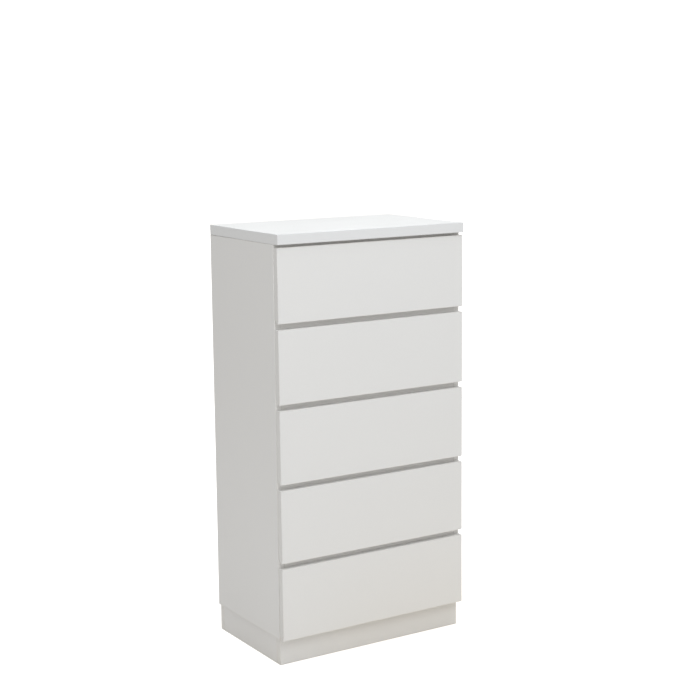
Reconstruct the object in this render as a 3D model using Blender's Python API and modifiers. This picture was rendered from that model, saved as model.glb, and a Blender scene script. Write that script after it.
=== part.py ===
"""Tall chest with five drawers, built as separate boards, strips and drawer boxes.

The chest stands on the plane z = 0, its front faces -Y, and the origin is the
centre of its footprint.
"""
import bmesh
import bpy

# Driving dimensions, in metres
WIDTH = 0.600
DEPTH = 0.380
TOP_THICKNESS = 0.028
TOP_GAP = 0.008
FRONT_HEIGHT = 0.201
FRONT_GAP = 0.016
DRAWER_COUNT = 5
PLINTH_HEIGHT = 0.075

FIT_GAP = 0.0003
EDGE_ROUND = 0.0008
EDGE_SEGMENTS = 2

# Carcass
BOARD = 0.018
TOP_OVERHANG = 0.005
FRONT_THICKNESS = 0.018
FRONT_REVEAL = 0.001
BUMPER_GAP = 0.0005
BACK_THICKNESS = 0.003
BACK_INSET = 0.0087
BACK_GROOVE = 0.0036
BACK_GROOVE_DEPTH = 0.007
BACK_ENGAGEMENT = 0.006
RAIL_DEPTH = 0.060
RAIL_OVERLAP = 0.001
REAR_RAIL_HEIGHT = 0.100

# Plinth
PLINTH_SET_BACK = 0.005
PLINTH_SIDE_INSET = 0.004
PLINTH_REAR_INSET = 0.004
BLOCK_SIZE = 0.030
BLOCK_BOTTOM = 0.008
BLOCK_TOP = 0.068

# Drawer boxes
BOX_BOTTOM = 0.022
BOX_HEIGHT = 0.148
BOX_LENGTH = 0.320
SIDE_CLEARANCE = 0.002
SIDE_THICKNESS = 0.015
BACK_BOARD = 0.012
FLOOR_THICKNESS = 0.003
FLOOR_HEIGHT = 0.010
FLOOR_GROOVE_DEPTH = 0.006
FLOOR_ENGAGEMENT = 0.0055
FINGER_CHAMFER = 0.012

# Runner strips and the grooves that hang on them
RUNNER_THICKNESS = 0.008
RUNNER_HEIGHT = 0.016
RUNNER_LENGTH = 0.310
RUNNER_SET_BACK = 0.007
RUNNER_CENTRE = 0.096
RUNNER_GROOVE_DEPTH = 0.007
RUNNER_PLAY_BELOW = 0.0007

# A cutter runs this far past the face that it opens
CUT_PAST = 0.005

# Planes worked out from the driving dimensions
HEIGHT = (
    PLINTH_HEIGHT
    + DRAWER_COUNT * FRONT_HEIGHT
    + (DRAWER_COUNT - 1) * FRONT_GAP
    + TOP_GAP
    + TOP_THICKNESS
)
HALF_WIDTH = WIDTH / 2
REAR = DEPTH / 2
TOP_FRONT = -DEPTH / 2
FRONT_FACE = TOP_FRONT + TOP_OVERHANG
FRONT_BACK = FRONT_FACE + FRONT_THICKNESS
CARCASS_FRONT = FRONT_BACK + BUMPER_GAP
TOP_UNDERSIDE = HEIGHT - TOP_THICKNESS
INNER_SIDE = HALF_WIDTH - BOARD
BACK_REAR_FACE = REAR - BACK_INSET
BACK_FRONT_FACE = BACK_REAR_FACE - BACK_THICKNESS
BOX_FRONT = FRONT_BACK + FIT_GAP
BOX_REAR = BOX_FRONT + BOX_LENGTH
BOX_OUTER = INNER_SIDE - SIDE_CLEARANCE
BOX_INNER = BOX_OUTER - SIDE_THICKNESS

WHITE_FOIL = {"colour": (0.80, 0.80, 0.79), "roughness": 0.38, "metallic": 0.0}
SHADED_FOIL = {"colour": (0.76, 0.76, 0.74), "roughness": 0.45, "metallic": 0.0}
HARDBOARD = {"colour": (0.70, 0.69, 0.66), "roughness": 0.60, "metallic": 0.0}
RAW_WOOD = {"colour": (0.62, 0.48, 0.32), "roughness": 0.70, "metallic": 0.0}
STRIP_PLASTIC = {"colour": (0.72, 0.72, 0.70), "roughness": 0.35, "metallic": 0.0}


def clear_scene():
    for old in list(bpy.data.objects):
        bpy.data.objects.remove(old, do_unlink=True)
    for old in list(bpy.data.meshes):
        bpy.data.meshes.remove(old)


def new_collection(name):
    collection = bpy.data.collections.new(name)
    bpy.context.scene.collection.children.link(collection)
    return collection


def put_in(collection, item):
    for other in list(item.users_collection):
        other.objects.unlink(item)
    collection.objects.link(item)


def make_material(name, finish):
    material = bpy.data.materials.new(name)
    material.use_nodes = True
    shader = material.node_tree.nodes["Principled BSDF"]
    shader.inputs["Base Color"].default_value = (*finish["colour"], 1.0)
    shader.inputs["Roughness"].default_value = finish["roughness"]
    shader.inputs["Metallic"].default_value = finish["metallic"]
    return material


def make_block(name, low, high, parent):
    """A rectangular block between two opposite corners, given in the chest's frame."""
    size = [top - bottom for bottom, top in zip(low, high)]
    centre = [(top + bottom) / 2 for bottom, top in zip(low, high)]
    bpy.ops.mesh.primitive_cube_add(size=1.0, location=centre)
    block = bpy.context.object
    block.name = name
    block.data.name = name
    block.scale = size
    bpy.ops.object.transform_apply(location=False, rotation=False, scale=True)
    if parent is not None:
        block.parent = parent
        block.location = [place - base for place, base in zip(centre, parent.location)]
    return block


def ease_edges(board, width=EDGE_ROUND):
    bevel = board.modifiers.new("eased_edges", "BEVEL")
    bevel.width = width
    bevel.segments = EDGE_SEGMENTS
    bevel.limit_method = "ANGLE"


def make_board(name, low, high, finish, parent=None):
    """A board with slightly rounded edges, as its edge band leaves it."""
    board = make_block(name, low, high, parent)
    board.data.materials.append(make_material(name, finish))
    ease_edges(board)
    put_in(parts, board)
    return board


def cut_groove(board, name, low, high, parent=None):
    """Cut a rectangular groove, given by its corners, out of a board."""
    cutter = make_block(f"{board.name}_{name}_cutter", low, high, parent)
    cutter.hide_render = True
    cutter.display_type = "WIRE"
    put_in(cutters, cutter)
    groove = board.modifiers.new(name, "BOOLEAN")
    groove.operation = "DIFFERENCE"
    groove.solver = "EXACT"
    groove.object = cutter


def on_side(side, near, far):
    """The low and high x of something between two distances from the middle plane.

    side is -1 on the left and +1 on the right.
    """
    return sorted((side * near, side * far))


def front_bottom(number):
    """Height of the lower edge of a drawer front.  Drawer 1 is the top one."""
    below = DRAWER_COUNT - number
    return PLINTH_HEIGHT + below * (FRONT_HEIGHT + FRONT_GAP)


def make_top():
    make_board(
        "top_panel",
        (-HALF_WIDTH, TOP_FRONT, TOP_UNDERSIDE),
        (HALF_WIDTH, REAR, HEIGHT),
        WHITE_FOIL,
    )


def make_side_panel(name, side):
    """A side panel with the upright groove that holds the back panel's edge."""
    x_low, x_high = on_side(side, INNER_SIDE, HALF_WIDTH)
    panel = make_board(
        name,
        (x_low, CARCASS_FRONT, PLINTH_HEIGHT),
        (x_high, REAR, TOP_UNDERSIDE - FIT_GAP),
        WHITE_FOIL,
    )
    groove_front = BACK_FRONT_FACE - FIT_GAP
    x_low, x_high = on_side(side, INNER_SIDE - CUT_PAST, INNER_SIDE + BACK_GROOVE_DEPTH)
    cut_groove(
        panel,
        "back_groove",
        (x_low, groove_front, PLINTH_HEIGHT - CUT_PAST),
        (x_high, groove_front + BACK_GROOVE, TOP_UNDERSIDE + CUT_PAST),
    )


def make_base_and_back():
    edge = INNER_SIDE - FIT_GAP
    make_board(
        "base_panel",
        (-edge, CARCASS_FRONT, PLINTH_HEIGHT),
        (edge, BACK_FRONT_FACE - FIT_GAP, PLINTH_HEIGHT + BOARD),
        SHADED_FOIL,
    )
    grooved_edge = INNER_SIDE + BACK_ENGAGEMENT
    make_board(
        "back_panel",
        (-grooved_edge, BACK_FRONT_FACE, PLINTH_HEIGHT + FIT_GAP),
        (grooved_edge, BACK_REAR_FACE, TOP_UNDERSIDE - 2 * FIT_GAP),
        HARDBOARD,
    )
    make_board(
        "top_rear_rail",
        (-edge, BACK_FRONT_FACE - FIT_GAP - BOARD, TOP_UNDERSIDE - FIT_GAP - REAR_RAIL_HEIGHT),
        (edge, BACK_FRONT_FACE - FIT_GAP, TOP_UNDERSIDE - FIT_GAP),
        SHADED_FOIL,
    )


def make_cross_rails():
    """Flat rails across the front: one under the top, one behind each gap between fronts.

    Cross rail 1 is the highest of those behind the gaps.
    """
    edge = INNER_SIDE - FIT_GAP
    make_board(
        "top_front_rail",
        (-edge, CARCASS_FRONT, TOP_UNDERSIDE - FIT_GAP - BOARD),
        (edge, CARCASS_FRONT + RAIL_DEPTH, TOP_UNDERSIDE - FIT_GAP),
        SHADED_FOIL,
    )
    for number in range(1, DRAWER_COUNT):
        gap_top = front_bottom(number)
        gap_bottom = gap_top - FRONT_GAP
        make_board(
            f"cross_rail_{number}",
            (-edge, CARCASS_FRONT, gap_bottom - RAIL_OVERLAP),
            (edge, CARCASS_FRONT + RAIL_DEPTH, gap_top + RAIL_OVERLAP),
            SHADED_FOIL,
        )


def make_plinth():
    """Four boards in a ring under the base panel, with a glue block in each corner."""
    outer_x = HALF_WIDTH - PLINTH_SIDE_INSET
    inner_x = outer_x - BOARD
    front_y = CARCASS_FRONT + PLINTH_SET_BACK
    rear_y = REAR - PLINTH_REAR_INSET
    top_z = PLINTH_HEIGHT - FIT_GAP
    make_board(
        "plinth_front",
        (-outer_x, front_y, 0.0),
        (outer_x, front_y + BOARD, top_z),
        WHITE_FOIL,
    )
    make_board(
        "plinth_rear",
        (-outer_x, rear_y - BOARD, 0.0),
        (outer_x, rear_y, top_z),
        WHITE_FOIL,
    )
    between_front = front_y + BOARD + FIT_GAP
    between_rear = rear_y - BOARD - FIT_GAP
    for side_name, side in (("left", -1), ("right", 1)):
        x_low, x_high = on_side(side, inner_x, outer_x)
        make_board(
            f"plinth_{side_name}",
            (x_low, between_front, 0.0),
            (x_high, between_rear, top_z),
            WHITE_FOIL,
        )
        x_low, x_high = on_side(side, inner_x - FIT_GAP - BLOCK_SIZE, inner_x - FIT_GAP)
        block_ends = (("front", between_front), ("rear", between_rear - BLOCK_SIZE))
        for end_name, y_low in block_ends:
            make_board(
                f"plinth_block_{end_name}_{side_name}",
                (x_low, y_low, BLOCK_BOTTOM),
                (x_high, y_low + BLOCK_SIZE, BLOCK_TOP),
                RAW_WOOD,
            )


def make_runners(number):
    """The pair of strips, screwed to the side panels, that a drawer hangs on."""
    centre = front_bottom(number) + RUNNER_CENTRE
    front_y = CARCASS_FRONT + RUNNER_SET_BACK
    screwed_face = INNER_SIDE - FIT_GAP
    for side_name, side in (("left", -1), ("right", 1)):
        x_low, x_high = on_side(side, screwed_face - RUNNER_THICKNESS, screwed_face)
        make_board(
            f"runner_{number}_{side_name}",
            (x_low, front_y, centre - RUNNER_HEIGHT / 2),
            (x_high, front_y + RUNNER_LENGTH, centre + RUNNER_HEIGHT / 2),
            STRIP_PLASTIC,
        )


def chamfer_finger_edge(front):
    """Slope the lower rear edge of a front, so that fingertips can pull from below."""
    mesh = bmesh.new()
    mesh.from_mesh(front.data)
    rear = max(vertex.co.y for vertex in mesh.verts)
    bottom = min(vertex.co.z for vertex in mesh.verts)
    lower_rear = [
        edge
        for edge in mesh.edges
        if all(v.co.y == rear and v.co.z == bottom for v in edge.verts)
    ]
    bmesh.ops.bevel(
        mesh,
        geom=lower_rear,
        offset=FINGER_CHAMFER,
        segments=1,
        affect="EDGES",
    )
    mesh.to_mesh(front.data)
    mesh.free()


def make_drawer_front(number, bottom, slide):
    front_edge = HALF_WIDTH - FRONT_REVEAL
    front = make_board(
        f"drawer_{number}_front",
        (-front_edge, FRONT_FACE, bottom),
        (front_edge, FRONT_BACK, bottom + FRONT_HEIGHT),
        WHITE_FOIL,
        slide,
    )
    chamfer_finger_edge(front)
    floor_z = bottom + BOX_BOTTOM + FLOOR_HEIGHT
    groove_edge = BOX_INNER + FLOOR_GROOVE_DEPTH
    cut_groove(
        front,
        "floor_groove",
        (-groove_edge, FRONT_BACK - FLOOR_GROOVE_DEPTH, floor_z - FIT_GAP),
        (groove_edge, FRONT_BACK + CUT_PAST, floor_z + FLOOR_THICKNESS + FIT_GAP),
        slide,
    )


def make_drawer_side(name, side, bottom, slide):
    """A drawer side with a runner groove outside and a floor groove inside."""
    x_low, x_high = on_side(side, BOX_INNER, BOX_OUTER)
    board = make_board(
        name,
        (x_low, BOX_FRONT, bottom + BOX_BOTTOM),
        (x_high, BOX_REAR, bottom + BOX_BOTTOM + BOX_HEIGHT),
        SHADED_FOIL,
        slide,
    )
    strip_bottom = bottom + RUNNER_CENTRE - RUNNER_HEIGHT / 2
    strip_top = strip_bottom + RUNNER_HEIGHT
    x_low, x_high = on_side(side, BOX_OUTER - RUNNER_GROOVE_DEPTH, BOX_OUTER + CUT_PAST)
    cut_groove(
        board,
        "runner_groove",
        (x_low, BOX_FRONT - CUT_PAST, strip_bottom - RUNNER_PLAY_BELOW),
        (x_high, BOX_REAR + CUT_PAST, strip_top + FIT_GAP),
        slide,
    )
    floor_z = bottom + BOX_BOTTOM + FLOOR_HEIGHT
    x_low, x_high = on_side(side, BOX_INNER - CUT_PAST, BOX_INNER + FLOOR_GROOVE_DEPTH)
    cut_groove(
        board,
        "floor_groove",
        (x_low, BOX_FRONT - CUT_PAST, floor_z - FIT_GAP),
        (x_high, BOX_REAR + CUT_PAST, floor_z + FLOOR_THICKNESS + FIT_GAP),
        slide,
    )


def make_drawer_back_and_floor(number, bottom, slide):
    """The back stands on the thin floor, which slides in from behind under it."""
    floor_z = bottom + BOX_BOTTOM + FLOOR_HEIGHT
    floor_top = floor_z + FLOOR_THICKNESS
    edge = BOX_INNER - FIT_GAP
    make_board(
        f"drawer_{number}_back",
        (-edge, BOX_REAR - BACK_BOARD, floor_top + FIT_GAP),
        (edge, BOX_REAR, bottom + BOX_BOTTOM + BOX_HEIGHT),
        SHADED_FOIL,
        slide,
    )
    floor_edge = BOX_INNER + FLOOR_ENGAGEMENT
    make_board(
        f"drawer_{number}_bottom",
        (-floor_edge, FRONT_BACK - FLOOR_ENGAGEMENT, floor_z),
        (floor_edge, BOX_REAR, floor_top),
        HARDBOARD,
        slide,
    )


def make_drawer(number):
    """One drawer under an empty that stands on its slide, at the middle of its front."""
    bottom = front_bottom(number)
    slide = bpy.data.objects.new(f"drawer_{number}_slide", None)
    slide.location = (0.0, FRONT_FACE, bottom + RUNNER_CENTRE)
    parts.objects.link(slide)
    make_drawer_front(number, bottom, slide)
    make_drawer_side(f"drawer_{number}_side_left", -1, bottom, slide)
    make_drawer_side(f"drawer_{number}_side_right", 1, bottom, slide)
    make_drawer_back_and_floor(number, bottom, slide)


clear_scene()
parts = new_collection("chest_of_drawers")
cutters = new_collection("cutters")

make_top()
make_side_panel("side_panel_left", -1)
make_side_panel("side_panel_right", 1)
make_base_and_back()
make_cross_rails()
make_plinth()
for drawer_number in range(1, DRAWER_COUNT + 1):
    make_runners(drawer_number)
    make_drawer(drawer_number)
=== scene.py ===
import math

import bmesh
import bpy
import numpy as np
from mathutils import Matrix, Vector


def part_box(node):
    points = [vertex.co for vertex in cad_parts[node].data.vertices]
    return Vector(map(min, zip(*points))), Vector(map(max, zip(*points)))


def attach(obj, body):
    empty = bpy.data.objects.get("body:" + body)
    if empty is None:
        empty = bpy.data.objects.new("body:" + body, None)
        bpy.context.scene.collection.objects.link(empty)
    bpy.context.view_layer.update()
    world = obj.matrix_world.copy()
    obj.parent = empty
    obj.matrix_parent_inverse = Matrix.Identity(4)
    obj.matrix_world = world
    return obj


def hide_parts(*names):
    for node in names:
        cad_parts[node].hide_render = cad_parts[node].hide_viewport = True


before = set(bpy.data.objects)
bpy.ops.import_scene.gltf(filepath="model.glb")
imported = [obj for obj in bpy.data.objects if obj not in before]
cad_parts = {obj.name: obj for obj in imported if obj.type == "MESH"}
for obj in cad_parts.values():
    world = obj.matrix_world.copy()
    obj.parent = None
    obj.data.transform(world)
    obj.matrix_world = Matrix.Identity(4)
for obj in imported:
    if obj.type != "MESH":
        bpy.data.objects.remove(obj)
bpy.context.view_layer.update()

drawerNumbers = range(1, 6)
railNumbers = range(1, 5)
print("frame loaded:", len(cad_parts), "nodes")


# shader groups

def newGroup(name, inputs, outputs):
    group = bpy.data.node_groups.new(name, "ShaderNodeTree")
    for socketName, kind, value in inputs:
        socket = group.interface.new_socket(name=socketName, in_out="INPUT", socket_type=kind)
        socket.default_value = value
    for socketName, kind in outputs:
        group.interface.new_socket(name=socketName, in_out="OUTPUT", socket_type=kind)
    return group, group.nodes.new("NodeGroupInput"), group.nodes.new("NodeGroupOutput")


def addNode(tree, kind, settings=None, values=None):
    node = tree.nodes.new(kind)
    for key, value in (settings or {}).items():
        setattr(node, key, value)
    for key, value in (values or {}).items():
        node.inputs[key].default_value = value
    return node


def chain(tree, *pairs):
    for start, end in pairs:
        tree.links.new(start, end)


def noiseNode(tree, vector, scale, detail=2.0, roughness=0.5):
    noise = addNode(tree, "ShaderNodeTexNoise", values={"Detail": detail, "Roughness": roughness})
    if isinstance(scale, (int, float)):
        noise.inputs["Scale"].default_value = scale
    else:
        chain(tree, (scale, noise.inputs["Scale"]))
    chain(tree, (vector, noise.inputs["Vector"]))
    return noise.outputs["Fac"]


def mathNode(tree, operation, first, second):
    node = addNode(tree, "ShaderNodeMath", {"operation": operation})
    for place, value in enumerate((first, second)):
        if isinstance(value, (int, float)):
            node.inputs[place].default_value = value
        else:
            chain(tree, (value, node.inputs[place]))
    return node.outputs[0]


def rangeNode(tree, value, fromLow, fromHigh, toLow, toHigh):
    node = addNode(tree, "ShaderNodeMapRange", {"clamp": True})
    limits = (fromLow, fromHigh, toLow, toHigh)
    for place, limit in enumerate(limits, start=1):
        if isinstance(limit, (int, float)):
            node.inputs[place].default_value = limit
        else:
            chain(tree, (limit, node.inputs[place]))
    chain(tree, (value, node.inputs[0]))
    return node.outputs[0]


def mixColour(tree, factor, first, second, blend="MIX"):
    node = addNode(tree, "ShaderNodeMix", {"data_type": "RGBA", "blend_type": blend})
    sockets = {0: factor, 6: first, 7: second}
    for place, value in sockets.items():
        if isinstance(value, (int, float, tuple)):
            node.inputs[place].default_value = value
        else:
            chain(tree, (value, node.inputs[place]))
    return node.outputs[2]


handlingLook = {
    "broad": 3.1,           # noise scales, per metre
    "fine": 240.0,
    "wiped": 9.0,
    "wipedDetail": 4.0,
    "wipedRoughness": 0.62,
    "wipedFrom": 0.42,      # the noise between which a smudge fades in
    "wipedTo": 0.68,
}


# broad uneven tone and faint hand marks, as on any foiled board that has been wiped
def makeHandlingGroup():
    look = handlingLook
    inputs = [
        ("Vector", "NodeSocketVector", (0, 0, 0)),
        ("Tone", "NodeSocketColor", (0.8, 0.8, 0.8, 1)),
        ("Mottle", "NodeSocketFloat", 0.015),
        ("Shine", "NodeSocketFloat", 0.4),
        ("Smudge", "NodeSocketFloat", 0.06),
    ]
    outputs = [("Colour", "NodeSocketColor"), ("Roughness", "NodeSocketFloat")]
    group, source, target = newGroup("handling", inputs, outputs)
    vector = source.outputs["Vector"]
    broad = noiseNode(group, vector, look["broad"], 3.0)
    fine = noiseNode(group, vector, look["fine"], 1.0)
    swing = mathNode(group, "SUBTRACT", mathNode(group, "ADD", broad, fine), 1.0)
    darker = mathNode(group, "MULTIPLY", swing, source.outputs["Mottle"])
    level = mathNode(group, "ADD", 1.0, darker)
    grey = addNode(group, "ShaderNodeCombineColor")
    for channel in range(3):
        chain(group, (level, grey.inputs[channel]))
    toned = mixColour(group, 1.0, source.outputs["Tone"], grey.outputs[0], "MULTIPLY")
    cloud = noiseNode(group, vector, look["wiped"], look["wipedDetail"], look["wipedRoughness"])
    wiped = rangeNode(group, cloud, look["wipedFrom"], look["wipedTo"], 0.0, 1.0)
    smudge = mathNode(group, "MULTIPLY", wiped, source.outputs["Smudge"])
    chain(
        group,
        (toned, target.inputs["Colour"]),
        (mathNode(group, "ADD", source.outputs["Shine"], smudge), target.inputs["Roughness"]),
    )
    return group


rippleScale = 55.0      # per metre


# the fine pebbled skin of pressed foil, as a height
def makePebbleGroup():
    inputs = [
        ("Vector", "NodeSocketVector", (0, 0, 0)),
        ("Grain", "NodeSocketFloat", 900.0),
        ("Ripple", "NodeSocketFloat", 0.35),
    ]
    group, source, target = newGroup("pebble", inputs, [("Height", "NodeSocketFloat")])
    vector = source.outputs["Vector"]
    grain = noiseNode(group, vector, source.outputs["Grain"])
    waves = noiseNode(group, vector, rippleScale)
    ripple = mathNode(group, "MULTIPLY", waves, source.outputs["Ripple"])
    chain(group, (mathNode(group, "ADD", grain, ripple), target.inputs["Height"]))
    return group


rubbedLook = {"scale": 38.0, "detail": 4.0, "from": 0.45, "to": 0.7}


# rubbed arrises: a broken mask along the rounded edges, from the piece's own arris attribute
def makeRubbedGroup():
    look = rubbedLook
    inputs = [
        ("Vector", "NodeSocketVector", (0, 0, 0)),
        ("Arris", "NodeSocketFloat", 0.0),
        ("Amount", "NodeSocketFloat", 0.5),
    ]
    group, source, target = newGroup("rubbed", inputs, [("Mask", "NodeSocketFloat")])
    patches = noiseNode(group, source.outputs["Vector"], look["scale"], look["detail"])
    broken = rangeNode(group, patches, look["from"], look["to"], 0.0, 1.0)
    along = mathNode(group, "MULTIPLY", broken, source.outputs["Arris"])
    chain(group, (mathNode(group, "MULTIPLY", along, source.outputs["Amount"]), target.inputs["Mask"]))
    return group


handling = makeHandlingGroup()
pebble = makePebbleGroup()
rubbed = makeRubbedGroup()


def useGroup(tree, group, vector, values):
    node = addNode(tree, "ShaderNodeGroup", {"node_tree": group}, values)
    chain(tree, (vector, node.inputs["Vector"]))
    return node


def newMaterial(name):
    material = bpy.data.materials.new(name)
    material.use_nodes = True
    tree = material.node_tree
    return material, tree, tree.nodes["Principled BSDF"]


# a foiled, banded or moulded surface in one tone, with its own skin, marks and rubbed edges
def makeSkinMaterial(name, look):
    material, tree, shader = newMaterial(name)
    place = addNode(tree, "ShaderNodeTexCoord").outputs["Object"]
    marks = useGroup(
        tree,
        handling,
        place,
        {
            "Tone": (*look["tone"], 1),
            "Mottle": look["mottle"],
            "Shine": look["shine"],
            "Smudge": look["smudge"],
        },
    )
    arris = addNode(tree, "ShaderNodeAttribute", {"attribute_name": "arris"})
    wear = useGroup(tree, rubbed, place, {"Amount": look["rub"]})
    chain(tree, (arris.outputs["Fac"], wear.inputs["Arris"]))
    colour = mixColour(tree, wear.outputs["Mask"], marks.outputs["Colour"], (*look["rubTone"], 1))
    skin = useGroup(tree, pebble, place, {"Grain": look["grain"], "Ripple": look["ripple"]})
    bump = addNode(tree, "ShaderNodeBump", values={"Strength": look["bump"], "Distance": look["relief"]})
    shader.inputs["IOR"].default_value = look["ior"]
    chain(
        tree,
        (colour, shader.inputs["Base Color"]),
        (marks.outputs["Roughness"], shader.inputs["Roughness"]),
        (skin.outputs["Height"], bump.inputs["Height"]),
        (bump.outputs["Normal"], shader.inputs["Normal"]),
    )
    return material


skinLooks = {
    "foilFace": {
        "tone": (0.840, 0.840, 0.838), "mottle": 0.020, "shine": 0.36, "smudge": 0.07,
        "rub": 0.25, "rubTone": (0.70, 0.70, 0.69), "grain": 900.0, "ripple": 0.5,
        "bump": 0.10, "relief": 0.0003, "ior": 1.5,
    },
    "edgeBand": {
        "tone": (0.830, 0.822, 0.808), "mottle": 0.015, "shine": 0.30, "smudge": 0.05,
        "rub": 0.35, "rubTone": (0.66, 0.66, 0.65), "grain": 600.0, "ripple": 0.8,
        "bump": 0.08, "relief": 0.0003, "ior": 1.5,
    },
    "topBand": {
        "tone": (0.822, 0.832, 0.845), "mottle": 0.015, "shine": 0.32, "smudge": 0.05,
        "rub": 0.30, "rubTone": (0.68, 0.68, 0.68), "grain": 600.0, "ripple": 0.8,
        "bump": 0.08, "relief": 0.0003, "ior": 1.5,
    },
    # a darker band tone for the drawer fronts' end faces: painted shade, standing in for the shade there
    "endBandPaintedShade": {
        "tone": (0.785, 0.783, 0.775), "mottle": 0.015, "shine": 0.34, "smudge": 0.05,
        "rub": 0.35, "rubTone": (0.66, 0.66, 0.65), "grain": 600.0, "ripple": 0.8,
        "bump": 0.08, "relief": 0.0003, "ior": 1.5,
    },
    "drawerFoil": {
        "tone": (0.770, 0.768, 0.755), "mottle": 0.025, "shine": 0.52, "smudge": 0.06,
        "rub": 0.30, "rubTone": (0.66, 0.65, 0.62), "grain": 1100.0, "ripple": 0.3,
        "bump": 0.12, "relief": 0.0003, "ior": 1.45,
    },
    "hardboard": {
        "tone": (0.720, 0.712, 0.690), "mottle": 0.060, "shine": 0.60, "smudge": 0.10,
        "rub": 0.30, "rubTone": (0.50, 0.42, 0.33), "grain": 420.0, "ripple": 1.6,
        "bump": 0.25, "relief": 0.0005, "ior": 1.45,
    },
    "runnerPlastic": {
        "tone": (0.690, 0.690, 0.675), "mottle": 0.020, "shine": 0.30, "smudge": 0.12,
        "rub": 0.30, "rubTone": (0.55, 0.55, 0.54), "grain": 1300.0, "ripple": 0.4,
        "bump": 0.10, "relief": 0.0003, "ior": 1.49,
    },
    "bumperPlastic": {
        "tone": (0.620, 0.620, 0.600), "mottle": 0.010, "shine": 0.20, "smudge": 0.05,
        "rub": 0.0, "rubTone": (0.6, 0.6, 0.6), "grain": 700.0, "ripple": 0.2,
        "bump": 0.05, "relief": 0.0002, "ior": 1.45,
    },
}
skins = {name: makeSkinMaterial(name, look) for name, look in skinLooks.items()}


# zinc-plated metal: a soft directional brush, a little dulling and faint yellow passivation
def makeZincMaterial():
    look = {
        "tone": (0.62, 0.61, 0.58), "warm": (0.55, 0.50, 0.40), "low": 0.28, "high": 0.46,
        "brushed": (900.0, 900.0, 120.0), "cloud": 160.0, "bump": 0.15, "relief": 0.0002,
    }
    material, tree, shader = newMaterial("zincPlate")
    shader.inputs["Metallic"].default_value = 1.0
    place = addNode(tree, "ShaderNodeTexCoord").outputs["Object"]
    stretch = addNode(tree, "ShaderNodeMapping", values={"Scale": look["brushed"]})
    chain(tree, (place, stretch.inputs["Vector"]))
    brush = noiseNode(tree, stretch.outputs["Vector"], 1.0, 3.0)
    cloud = noiseNode(tree, place, look["cloud"], 3.0)
    bump = addNode(tree, "ShaderNodeBump", values={"Strength": look["bump"], "Distance": look["relief"]})
    chain(
        tree,
        (mixColour(tree, cloud, (*look["tone"], 1), (*look["warm"], 1)), shader.inputs["Base Color"]),
        (rangeNode(tree, brush, 0.3, 0.7, look["low"], look["high"]), shader.inputs["Roughness"]),
        (brush, bump.inputs["Height"]),
        (bump.outputs["Normal"], shader.inputs["Normal"]),
    )
    return material


# sawn softwood: growth rings stretched along the block, with darker late wood
def makePineMaterial():
    look = {
        "early": (0.66, 0.50, 0.31), "late": (0.47, 0.30, 0.15), "dull": 0.72, "shiny": 0.58,
        "rings": 150.0, "alongGrain": (1.0, 1.0, 0.08), "bump": 0.3, "relief": 0.0004,
    }
    material, tree, shader = newMaterial("sawnPine")
    place = addNode(tree, "ShaderNodeTexCoord").outputs["Object"]
    stretch = addNode(tree, "ShaderNodeMapping", values={"Scale": look["alongGrain"]})
    chain(tree, (place, stretch.inputs["Vector"]))
    waves = addNode(
        tree,
        "ShaderNodeTexWave",
        {"wave_type": "RINGS", "rings_direction": "Z"},
        {"Scale": look["rings"], "Distortion": 3.0, "Detail": 3.0, "Detail Scale": 1.5},
    )
    chain(tree, (stretch.outputs["Vector"], waves.inputs["Vector"]))
    ring = waves.outputs["Fac"]
    bump = addNode(tree, "ShaderNodeBump", values={"Strength": look["bump"], "Distance": look["relief"]})
    chain(
        tree,
        (mixColour(tree, ring, (*look["early"], 1), (*look["late"], 1)), shader.inputs["Base Color"]),
        (rangeNode(tree, ring, 0.0, 1.0, look["dull"], look["shiny"]), shader.inputs["Roughness"]),
        (ring, bump.inputs["Height"]),
        (bump.outputs["Normal"], shader.inputs["Normal"]),
    )
    return material


zincPlate = makeZincMaterial()
skins["sawnPine"] = makePineMaterial()
print("materials made")


# surfaces

meshLook = {
    "merge": 2e-6,          # points nearer than this become one
    "tooShort": 1e-6,       # edges shorter than this are dissolved
    "squareOn": 0.9999,     # of a normal, for a face that counts as flat
    "sheetCrease": math.radians(30),
    "turnedCrease": math.radians(35),
}


# A mesh from rings[stop, point]: neighbours on both ways round are joined by quads, and the end
# rings are closed by flat caps. Coincident points are merged, and the faces turned outwards.
def carryProfile(name, rings, arris):
    stops, points = rings.shape[:2]
    index = np.arange(stops * points).reshape(stops, points)
    here, beyond = index[:-1], index[1:]
    corners = [here, np.roll(here, -1, 1), np.roll(beyond, -1, 1), beyond]
    quads = np.stack(corners, -1).reshape(-1, 4)
    mesh = bpy.data.meshes.new(name)
    caps = [index[0, ::-1].tolist(), index[-1].tolist()]
    mesh.from_pydata(rings.reshape(-1, 3).tolist(), [], quads.tolist() + caps)
    layer = mesh.attributes.new("arris", "FLOAT", "POINT")
    layer.data.foreach_set("value", arris.reshape(-1).astype(np.float32))
    tidyMesh(mesh)
    return mesh


def tidyMesh(mesh):
    work = bmesh.new()
    work.from_mesh(mesh)
    bmesh.ops.remove_doubles(work, verts=work.verts, dist=meshLook["merge"])
    bmesh.ops.dissolve_degenerate(work, edges=work.edges, dist=meshLook["tooShort"])
    bmesh.ops.recalc_face_normals(work, faces=work.faces)
    work.to_mesh(mesh)
    work.free()


# Flat faces keep hard shading, and whatever lies between them is shaded round.
def roundShading(mesh):
    normals = np.empty(len(mesh.polygons) * 3, np.float32)
    mesh.polygons.foreach_get("normal", normals)
    squareOn = np.abs(normals.reshape(-1, 3)).max(1) > meshLook["squareOn"]
    mesh.polygons.foreach_set("use_smooth", ~squareOn)


arcPoints = 5    # along every rounded edge


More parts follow.
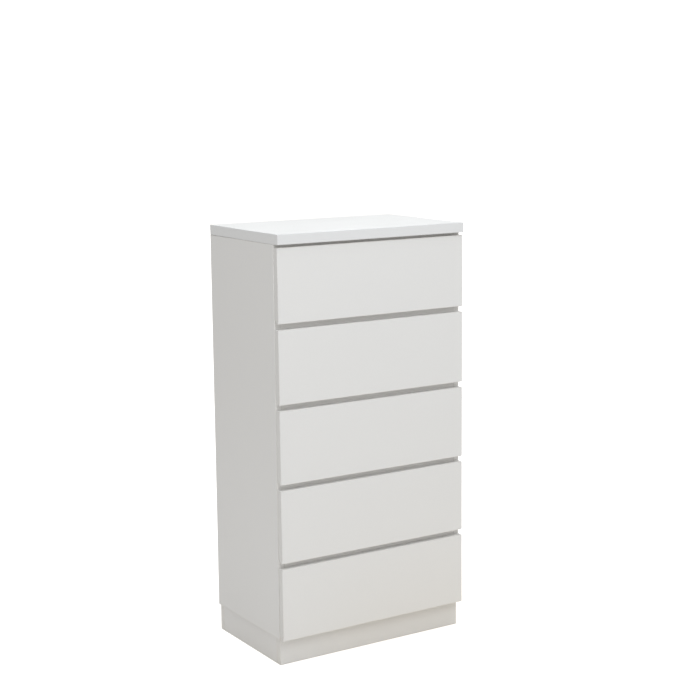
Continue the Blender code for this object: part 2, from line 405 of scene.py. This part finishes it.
# An outline through corners (u, v, radius): each corner with a radius becomes an arc that starts and
# ends radius / tan(half the angle) from the corner; a radius of 0 keeps the point. With it come the
# direction from each arc's centre through its points, and a number for each arc's points from 1 up,
# both 0 off the arcs.
def roundedOutline(corners):
    spots = np.array([corner[:2] for corner in corners], float)
    outline, outward, onArc = [], [], []
    for place, (u, v, radius) in enumerate(corners):
        spot = spots[place]
        if radius == 0:
            outline.append(spot[None])
            outward.append(np.zeros((1, 2)))
            onArc.append([0])
            continue
        back = spots[place - 1] - spot
        ahead = spots[(place + 1) % len(spots)] - spot
        back, ahead = back / np.linalg.norm(back), ahead / np.linalg.norm(ahead)
        halfAngle = math.acos(np.clip(back @ ahead, -1, 1)) / 2
        middle = (back + ahead) / np.linalg.norm(back + ahead)
        centre = spot + middle * radius / math.sin(halfAngle)
        start = spot + back * radius / math.tan(halfAngle) - centre
        end = spot + ahead * radius / math.tan(halfAngle) - centre
        sweep = math.acos(np.clip(start @ end / radius**2, -1, 1))
        share = np.linspace(0, 1, arcPoints)[:, None]
        arc = (np.sin((1 - share) * sweep) * start + np.sin(share * sweep) * end) / math.sin(sweep)
        outline.append(centre + arc)
        outward.append(arc / radius)
        onArc.append(1 + np.arange(arcPoints))
    return np.concatenate(outline), np.concatenate(outward), np.concatenate(onArc)


boardLook = {
    "arris": 0.0009,        # radius of the eased edges
    "sheetArris": 0.0004,   # the same on the back panel and the drawer bottoms
    "band": 0.0020,         # thickness of the edge band
    "jointWidth": 0.00016,  # hairline between band and foil
    "jointDepth": 0.00012,
    "bowPoints": 24,        # across and along a thin sheet
}


# The rings along a board, as rows of (distance, drawn in, roundness, depth of the grooves): a
# quarter round at each end, drawn in by radius * (1 - sin a) at radius * (1 - cos a), with a
# roundness of sin 2a, then the joint of the edge band. Where a stopped groove starts or ends, two
# rings stand at one distance.
def ringPlan(length, shape):
    radius = shape.get("endRound", shape["arris"])
    angle = np.linspace(0, math.pi / 2, arcPoints)
    roundness = np.sin(2 * angle)
    rows = [np.stack([radius * (1 - np.cos(angle)), radius * (1 - np.sin(angle)), roundness], 1)]
    if shape["band"]:
        band, half = shape["band"], boardLook["jointWidth"] / 2
        rows.append([[band - half, 0, 0], [band, boardLook["jointDepth"], 0], [band + half, 0, 0]])
    nearEnd = np.concatenate(rows)
    farEnd = nearEnd * (-1, 1, 1) + (length, 0, 0)
    plan = np.concatenate([nearEnd, farEnd])
    if "bow" in shape:
        between = np.linspace(0, length, boardLook["bowPoints"])[1:-1, None] * (1, 0, 0)
        plan = np.concatenate([plan, between])
    sunk = np.ones((len(plan), 1))
    if "stops" in shape:
        first, last = shape["stops"]
        sunk[:, 0] = (plan[:, 0] > first) & (plan[:, 0] < last)
        plan = np.concatenate([plan, [[first, 0, 0], [first, 0, 0], [last, 0, 0], [last, 0, 0]]])
        sunk = np.concatenate([sunk, [[0], [1], [1], [0]]])
    plan = np.concatenate([plan, sunk], 1)
    return plan[np.argsort(plan[:, 0], kind="stable")].T


# The corners (u, v, radius) round a board's section. Its two faces carry the joints of the edge
# band, the grooves, sunk by their depth * sunk, and the points that a thin sheet bows at.
def sectionCorners(low, high, shape, sunk):
    radius, band, cut = shape["arris"], shape["band"], shape.get("chamfer", 0)
    half, depth = boardLook["jointWidth"] / 2, boardLook["jointDepth"]

    def faceMarks(face, inward):
        marks = []
        if band:
            for joint in (low[1] + band, high[1] - band):
                marks.append([(face, joint - half), (face + inward * depth, joint), (face, joint + half)])
        for side, start, end, deep in shape.get("grooves", ()):
            if side == -inward:
                floor = face + inward * deep * sunk
                marks.append([(face, start), (floor, start), (floor, end), (face, end)])
        if "bow" in shape:
            marks += [[(face, spot)] for spot in np.linspace(low[1], high[1], boardLook["bowPoints"])[1:-1]]
        marks.sort(key=lambda mark: mark[0][1])
        return [(*spot, 0) for mark in marks for spot in mark]

    lowEdge = [(high[0], low[1], radius)]
    marksHigh = faceMarks(high[0], -1)
    if cut:
        lowEdge = [(high[0] - cut, low[1], radius), (high[0], low[1] + cut, radius)]
        marksHigh = [mark for mark in marksHigh if mark[1] > low[1] + cut]
    highEdge = [(high[0], high[1], radius), (low[0], high[1], radius)]
    return lowEdge + marksHigh + highEdge + faceMarks(low[0], 1)[::-1] + [(low[0], low[1], radius)]


# A board in the place of a CAD node: its rounded section is carried along its longest side. u runs
# through the thickness, v across the width and w along. Where a ring is drawn in, a point moves
# towards its arc's centre or square to its face. A bowed sheet's point moves by
# bow * sin(pi s) * sin(pi t), with s and t from 0 to 1 between the held edges.
def makeBoard(node, body, finish, slot, shape=None):
    low, high = (np.array(corner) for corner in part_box(node))
    size = high - low
    u, v, w = np.argsort(size, kind="stable")
    bands = boardLook["band"] if len(finish) > 1 else 0
    shape = {"arris": boardLook["arris"], "band": bands, **(shape or {})}
    section, pull, onArc = roundedOutline(sectionCorners(low[[u, v]], high[[u, v]], shape, 1))
    unsunk = roundedOutline(sectionCorners(low[[u, v]], high[[u, v]], shape, 0))[0]
    grooved = np.abs(section - unsunk).sum(1) > 0
    pull[onArc == 0, 0] = np.sign(section[onArc == 0, 0] - (low[u] + high[u]) / 2)

    along, drawnIn, atEnd, sunk = ringPlan(size[w], shape)
    sunk = sunk[:, None, None]
    move = pull * (1 - sunk * grooved[:, None])
    rings = np.empty((len(along), len(section), 3))
    rings[..., [u, v]] = unsunk + sunk * (section - unsunk) - drawnIn[:, None, None] * move
    rings[..., w] = low[w] + along[:, None]
    if "bow" in shape:
        held = shape["held"]
        share = [(rings[..., axis] - low[axis] - held) / (size[axis] - 2 * held) for axis in (v, w)]
        swell = [np.sin(math.pi * np.clip(part, 0, 1)) for part in share]
        rings[..., u] += shape["bow"] * swell[0] * swell[1]
    alongEdge = np.sin(math.pi * np.clip(onArc - 1, 0, arcPoints - 1) / (arcPoints - 1))
    mesh = carryProfile(node + "_board", rings, np.maximum(alongEdge[None], atEnd[:, None]))
    if "bow" in shape:
        mesh.shade_smooth()
        mesh.set_sharp_from_angle(angle=meshLook["sheetCrease"])
    else:
        roundShading(mesh)
    for skin in finish:
        mesh.materials.append(skins[skin])
    if bands:
        markBand(mesh, low, high, {v: 1, w: len(finish) - 1})
    return placePiece(node + "_board", mesh, body, slot, node)


# Faces nearer a board's outer edges than the band's thickness take the band's material.
def markBand(mesh, low, high, materialOf):
    centres = np.empty(len(mesh.polygons) * 3, np.float32)
    mesh.polygons.foreach_get("center", centres)
    centres = centres.reshape(-1, 3)
    chosen = np.zeros(len(centres), np.int32)
    for axis, place in materialOf.items():
        onBand = centres[:, axis] < low[axis] + boardLook["band"]
        onBand |= centres[:, axis] > high[axis] - boardLook["band"]
        chosen[onBand] = place
    mesh.polygons.foreach_set("material_index", chosen)


def placePiece(name, mesh, body, slot=None, *nodes):
    piece = bpy.data.objects.new(name, mesh)
    bpy.context.scene.collection.objects.link(piece)
    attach(piece, body)
    if nodes:
        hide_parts(*nodes)
    return piece


# turned fittings

fittings = {
    "camDisc": {
        "radius": 0.0075, "thick": 0.0012, "proud": 0.0002, "dome": 0.0, "ease": 0.0004,
        "arm": 0.0042, "armWidth": 0.0011, "recess": 0.0011, "material": zincPlate,
    },
    "sideScrew": {
        "radius": 0.0036, "thick": 0.0012, "proud": 0.0002, "dome": 0.0001, "ease": 0.0003,
        "arm": 0.0021, "armWidth": 0.00055, "recess": 0.0009, "material": zincPlate,
    },
    "runnerScrew": {
        "radius": 0.0033, "thick": 0.0010, "proud": 0.0002, "dome": 0.0004, "ease": 0.0003,
        "arm": 0.0018, "armWidth": 0.0005, "recess": 0.0009, "material": zincPlate,
    },
    "nail": {
        "radius": 0.0025, "thick": 0.0010, "proud": 0.0005, "dome": 0.0002, "ease": 0.0002,
        "arm": 0.0, "armWidth": 0.0, "recess": 0.0, "material": zincPlate,
    },
    "bumper": {
        "radius": 0.0040, "thick": 0.0004, "proud": 0.0001, "dome": 0.0003, "ease": 0.0001,
        "arm": 0.0, "armWidth": 0.0, "recess": 0.0, "material": skins["bumperPlastic"],
    },
}


turnedLook = {
    "facePoints": 15,       # from a fitting's rim to its centre
    "roundPoints": 32,
    "turnStep": 2.4,        # from one fitting to the next, in radians
    "wallShare": 0.6,       # of an arm's half width, taken by the recess's sloping wall
}


# Turned fittings, all alike, in one mesh. Round each spot, a profile (radius r, height h) is turned
# once round the facing direction: point = spot + r * (cos a * across + sin a * up) + h * facing. The
# face is domed by dome * (1 - (r / radius) ** 2), and a cross recess takes it down where a point
# lies inside one of the two arms, over a short sloping wall. Each stands at its own turn.
def makeFittings(name, body, kind, spots, facing, slot=None):
    look = fittings[kind]
    facing = np.array(facing, float)
    across = np.roll(facing, 1)
    up = np.cross(facing, across)
    radius, top, under = look["radius"], look["proud"], look["proud"] - look["thick"]
    faceRadius = np.linspace(radius - look["ease"], 0, turnedLook["facePoints"])
    profileRadius = np.concatenate([[0, radius], [radius], faceRadius])
    height = np.concatenate([[under, under], [top - look["ease"]], faceRadius * 0 + top])
    height[3:] += look["dome"] * (1 - (faceRadius / radius) ** 2)

    spots = np.array(spots, float)
    angle = np.linspace(0, 2 * math.pi, turnedLook["roundPoints"], endpoint=False)
    turn = turnedLook["turnStep"] * np.arange(len(spots))
    x = np.broadcast_to(profileRadius[:, None] * np.cos(angle), (len(profileRadius), len(angle)))
    y = np.broadcast_to(profileRadius[:, None] * np.sin(angle), x.shape)
    heights = np.broadcast_to(height[:, None], x.shape).copy()
    if look["recess"]:
        armX = np.minimum(look["arm"] - np.abs(x), look["armWidth"] - np.abs(y))
        armY = np.minimum(look["arm"] - np.abs(y), look["armWidth"] - np.abs(x))
        wall = turnedLook["wallShare"] * look["armWidth"]
        inArm = np.clip(np.maximum(armX, armY) / wall, 0, 1)
        heights[3:] -= look["recess"] * inArm[3:]

    cosTurn, sinTurn = np.cos(turn)[:, None, None, None], np.sin(turn)[:, None, None, None]
    turnedX = cosTurn * x[..., None] - sinTurn * y[..., None]
    turnedY = sinTurn * x[..., None] + cosTurn * y[..., None]
    points = spots[:, None, None] + turnedX * across + turnedY * up + heights[..., None] * facing
    index = np.arange(points[..., 0].size).reshape(points.shape[:3])
    here, beyond = index[:, :-1], index[:, 1:]
    quads = np.stack([here, np.roll(here, -1, 2), np.roll(beyond, -1, 2), beyond], -1)
    mesh = bpy.data.meshes.new(name)
    mesh.from_pydata(points.reshape(-1, 3).tolist(), [], quads.reshape(-1, 4).tolist())
    tidyMesh(mesh)
    mesh.shade_smooth()
    mesh.set_sharp_from_angle(angle=meshLook["turnedCrease"])
    mesh.materials.append(look["material"])
    return placePiece(name, mesh, body, slot)


# carcass

# a board's finish: its faces, the band on its long edges and, where it differs, on its ends; the drawer
# fronts' ends take a darker tone, a painted shade on those end faces
foilBoard = ("foilFace", "edgeBand")
topBoard = ("foilFace", "topBand")
frontBoard = ("foilFace", "edgeBand", "endBandPaintedShade")
drawerBoard = ("drawerFoil", "drawerFoil")
thinSheet = ("hardboard",)
play = 0.0003           # left all round a board that sits in a groove
sides = {"left": -1, "right": 1}

carcassLook = {
    "topArris": 0.0012,
    "backGrooveWidth": 0.0036,
    "backGrooveDepth": 0.0070,
    "backBow": 0.0012,
    "camInset": 0.034,      # of a cam from the end of its rail
    "nailSpacing": 0.130,
    "nailInset": 0.009,     # of the nails from the edge of the board behind them
}


def makeCarcass():
    look = carcassLook
    backLow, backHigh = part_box("back_panel")
    makeBoard("top_panel", "carcass", topBoard, "white_lacquer", {"arris": look["topArris"]})
    grooveStart = backLow[1] - play
    grooveEnd = grooveStart + look["backGrooveWidth"]
    for sideName, side in sides.items():
        groove = (-side, grooveStart, grooveEnd, look["backGrooveDepth"])
        makeBoard("side_panel_" + sideName, "carcass", foilBoard, "white_lacquer", {"grooves": [groove]})
        makeBoard("plinth_" + sideName, "carcass", foilBoard, "white_lacquer")
    for node in ("plinth_front", "plinth_rear", "base_panel", "top_rear_rail", "top_front_rail"):
        makeBoard(node, "carcass", foilBoard, "white_lacquer")
    for number in railNumbers:
        makeBoard(f"cross_rail_{number}", "carcass", foilBoard, "white_lacquer")
    bowed = {"arris": boardLook["sheetArris"], "bow": look["backBow"], "held": look["backGrooveDepth"]}
    makeBoard("back_panel", "carcass", thinSheet, "white_hardboard", bowed)
    for end in ("front", "rear"):
        for sideName in sides:
            makeBoard(f"plinth_block_{end}_{sideName}", "carcass", ("sawnPine",), "raw_wood")


# cams under the rails and in the rear rail, and nails along the top and the foot of the back panel
def makeCarcassFittings():
    look = carcassLook
    railNodes = ["top_front_rail"] + [f"cross_rail_{number}" for number in railNumbers]
    spots = []
    for node in railNodes:
        low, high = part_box(node)
        for x in (low[0] + look["camInset"], high[0] - look["camInset"]):
            spots.append((x, (low[1] + high[1]) / 2, low[2]))
    makeFittings("rail_cams", "carcass", "camDisc", spots, (0, 0, -1))
    low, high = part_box("top_rear_rail")
    middle = (low[2] + high[2]) / 2
    ends = (low[0] + look["camInset"], high[0] - look["camInset"])
    makeFittings("rear_rail_cams", "carcass", "camDisc", [(x, low[1], middle) for x in ends], (0, -1, 0))

    backLow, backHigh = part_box("back_panel")
    count = int((backHigh[0] - backLow[0]) / look["nailSpacing"])
    across = (np.arange(count) - (count - 1) / 2) * look["nailSpacing"]
    heights = (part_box("base_panel")[1][2] - look["nailInset"], high[2] - look["nailInset"])
    spots = [(x, backHigh[1], z) for z in heights for x in across]
    makeFittings("back_panel_nails", "carcass", "nail", spots, (0, 1, 0))


runnerLook = {
    "arris": 0.0015,
    "channel": 0.0090,       # height of the channel that the screws sit in
    "channelDepth": 0.0012,
    "channelEnd": 0.012,
    "screwInset": 0.024,
    "screws": 3,
}


def makeRunners(number):
    look = runnerLook
    for sideName, side in sides.items():
        node = f"runner_{number}_{sideName}"
        low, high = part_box(node)
        middle = (low[2] + high[2]) / 2
        channel = (-side, middle - look["channel"] / 2, middle + look["channel"] / 2, look["channelDepth"])
        shape = {
            "arris": look["arris"],
            "grooves": [channel],
            "stops": (look["channelEnd"], high[1] - low[1] - look["channelEnd"]),
        }
        makeBoard(node, "carcass", ("runnerPlastic",), "runner_plastic", shape)
        floor = low[0] + look["channelDepth"] if side > 0 else high[0] - look["channelDepth"]
        along = np.linspace(low[1] + look["screwInset"], high[1] - look["screwInset"], look["screws"])
        spots = [(floor, y, middle) for y in along]
        makeFittings(node + "_screws", "carcass", "runnerScrew", spots, (-side, 0, 0))


# drawers

drawerLook = {
    "chamfer": 0.012,
    "floorGroove": 0.0060,
    "floorSag": -0.0011,
    "runnerGroove": 0.0070,
    "runnerPlayBelow": 0.0007,
    "camBehindFront": 0.034,
    "camInset": 0.035,       # of a cam from the upper or lower edge of the drawer side
    "screwInset": 0.030,
    "bumperInset": (0.008, 0.030),
    "floorNails": (-0.18, 0.0, 0.18),
}


def makeDrawer(number):
    look = drawerLook
    body = f"drawer_{number}"
    floorLow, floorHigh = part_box(body + "_bottom")
    frontLow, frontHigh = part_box(body + "_front")
    rearFace = frontHigh[1]
    backLow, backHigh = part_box(body + "_back")
    backMiddle = (backLow[1] + backHigh[1]) / 2
    floorSlot = (floorLow[2] - play, floorHigh[2] + play, look["floorGroove"])
    stopped = (floorLow[0] - frontLow[0] - play, floorHigh[0] - frontLow[0] + play)
    frontShape = {"chamfer": look["chamfer"], "grooves": [(1, *floorSlot)], "stops": stopped}
    makeBoard(body + "_front", body, frontBoard, "white_lacquer", frontShape)
    makeBoard(body + "_back", body, drawerBoard, "drawer_foil")
    bowed = {"arris": boardLook["sheetArris"], "bow": look["floorSag"], "held": look["floorGroove"]}
    makeBoard(body + "_bottom", body, thinSheet, "white_hardboard", bowed)

    for sideName, side in sides.items():
        node = f"{body}_side_{sideName}"
        low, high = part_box(node)
        runnerLow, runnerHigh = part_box(f"runner_{number}_{sideName}")
        runnerSlot = (runnerLow[2] - look["runnerPlayBelow"], runnerHigh[2] + play, look["runnerGroove"])
        sideShape = {"grooves": [(side, *runnerSlot), (-side, *floorSlot)]}
        makeBoard(node, body, drawerBoard, "drawer_foil", sideShape)
        inner, outer = (low[0], high[0]) if side > 0 else (high[0], low[0])
        levels = (low[2] + look["camInset"], high[2] - look["camInset"])
        camSpots = [(inner, rearFace + look["camBehindFront"], z) for z in levels]
        makeFittings(f"{body}_cams_{sideName}", body, "camDisc", camSpots, (-side, 0, 0))
        levels = (backLow[2] + look["screwInset"], backHigh[2] - look["screwInset"])
        screwSpots = [(outer, backMiddle, z) for z in levels]
        makeFittings(f"{body}_screws_{sideName}", body, "sideScrew", screwSpots, (side, 0, 0))

    insetX, insetZ = look["bumperInset"]
    bumperSpots = [
        (x, rearFace, z)
        for x in (frontLow[0] + insetX, frontHigh[0] - insetX)
        for z in (frontLow[2] + insetZ, frontHigh[2] - insetZ)
    ]
    makeFittings(body + "_bumpers", body, "bumper", bumperSpots, (0, 1, 0), "runner_plastic")
    nailSpots = [(x, backMiddle, floorLow[2]) for x in look["floorNails"]]
    makeFittings(body + "_floor_nails", body, "nail", nailSpots, (0, 0, -1))


makeCarcass()
makeCarcassFittings()
print("carcass made")
for drawerNumber in drawerNumbers:
    makeRunners(drawerNumber)
    makeDrawer(drawerNumber)
    print("drawer", drawerNumber, "made")


# stage, light and camera

def makeFloor():
    look = {
        "half": 12.0, "roughness": 0.9,
        "tone": (0.80, 0.78, 0.755, 1),
        "warmTone": (0.77, 0.705, 0.61, 1), "warmAt": (0.25, -0.2, 0), "warmNear": 0.3, "warmFar": 0.75,
        "liftNear": 0.75, "near": 0.4, "far": 1.3,
    }
    material, tree, shader = newMaterial("paleFloor")
    shader.inputs["Roughness"].default_value = look["roughness"]
    shader.inputs["Emission Color"].default_value = (1, 1, 1, 1)
    place = addNode(tree, "ShaderNodeTexCoord").outputs["Object"]
    # a warm patch under and beside the chest, which tints its lower boards as a wooden floor does
    fromWarm = addNode(tree, "ShaderNodeVectorMath", {"operation": "DISTANCE"})
    fromWarm.inputs[1].default_value = look["warmAt"]
    outward = rangeNode(tree, fromWarm.outputs["Value"], look["warmNear"], look["warmFar"], 0.0, 1.0)
    tone = mixColour(tree, outward, look["warmTone"], look["tone"])
    chain(tree, (place, fromWarm.inputs[0]), (tone, shader.inputs["Base Color"]))
    # seen straight on, the floor is lifted to white, a little less so near the chest
    reach = addNode(tree, "ShaderNodeVectorMath", {"operation": "LENGTH"})
    lightPath = addNode(tree, "ShaderNodeLightPath")
    chain(tree, (place, reach.inputs[0]))
    lift = rangeNode(tree, reach.outputs["Value"], look["near"], look["far"], look["liftNear"], 1.0)
    seen = mathNode(tree, "MULTIPLY", lightPath.outputs["Is Camera Ray"], lift)
    chain(tree, (seen, shader.inputs["Emission Strength"]))
    mesh = bpy.data.meshes.new("floor")
    half = look["half"]
    spots = [(-half, -half, 0), (half, -half, 0), (half, half, 0), (-half, half, 0)]
    mesh.from_pydata(spots, [], [(0, 1, 2, 3)])
    mesh.materials.append(material)
    floor = bpy.data.objects.new("floor", mesh)
    bpy.context.scene.collection.objects.link(floor)


def makeSky():
    look = {"seen": 1.12, "ambient": 0.551, "tint": (1.0, 0.987, 0.962, 1)}
    world = bpy.data.worlds.new("studio")
    world.use_nodes = True
    tree = world.node_tree
    background = tree.nodes["Background"]
    background.inputs["Color"].default_value = look["tint"]
    lightPath = addNode(tree, "ShaderNodeLightPath")
    strength = rangeNode(
        tree, lightPath.outputs["Is Camera Ray"], 0.0, 1.0, look["ambient"], look["seen"]
    )
    chain(tree, (strength, background.inputs["Strength"]))
    bpy.context.scene.world = world


softboxes = {
    "overhead": {
        "place": (0.3, -0.6, 4.2), "aim": (0, 0, 0.6), "size": 3.0, "power": 78.0,
        "tint": (0.92, 0.965, 1.0),
    },
    "highFront": {
        "place": (-1.0, -2.8, 3.2), "aim": (0, 0, 0.6), "size": 1.6, "power": 30.5,
        "tint": (0.95, 0.975, 1.0),
    },
}


def makeSoftbox(name, look):
    light = bpy.data.lights.new(name, "AREA")
    light.shape = "SQUARE"
    light.size = look["size"]
    light.energy = look["power"]
    light.color = look["tint"]
    lamp = bpy.data.objects.new(name, light)
    lamp.location = look["place"]
    lamp.rotation_euler = (Vector(look["aim"]) - lamp.location).to_track_quat("-Z", "Y").to_euler()
    bpy.context.scene.collection.objects.link(lamp)


def makeCamera():
    look = {
        "place": (-2.2273, -3.5980, 1.5390),
        "heading": 32.218,   # degrees to the right of the +Y direction
        "tilt": 8.842,       # degrees below the horizon
        "roll": -0.560,
        "lens": 77.85,
        "rise": -0.03,
    }
    camera = bpy.data.objects.new("camera", bpy.data.cameras.new("camera"))
    camera.data.lens = look["lens"]
    camera.data.sensor_width = 36.0
    camera.data.shift_y = look["rise"]
    turn = (
        Matrix.Rotation(-math.radians(look["heading"]), 4, "Z")
        @ Matrix.Rotation(math.radians(90 - look["tilt"]), 4, "X")
        @ Matrix.Rotation(math.radians(look["roll"]), 4, "Z")
    )
    camera.matrix_world = Matrix.Translation(look["place"]) @ turn
    bpy.context.scene.collection.objects.link(camera)
    bpy.context.scene.camera = camera


makeFloor()
makeSky()
for softboxName, softbox in softboxes.items():
    makeSoftbox(softboxName, softbox)
makeCamera()
bpy.context.scene.view_settings.view_transform = "Standard"
print("stage, light and camera made")
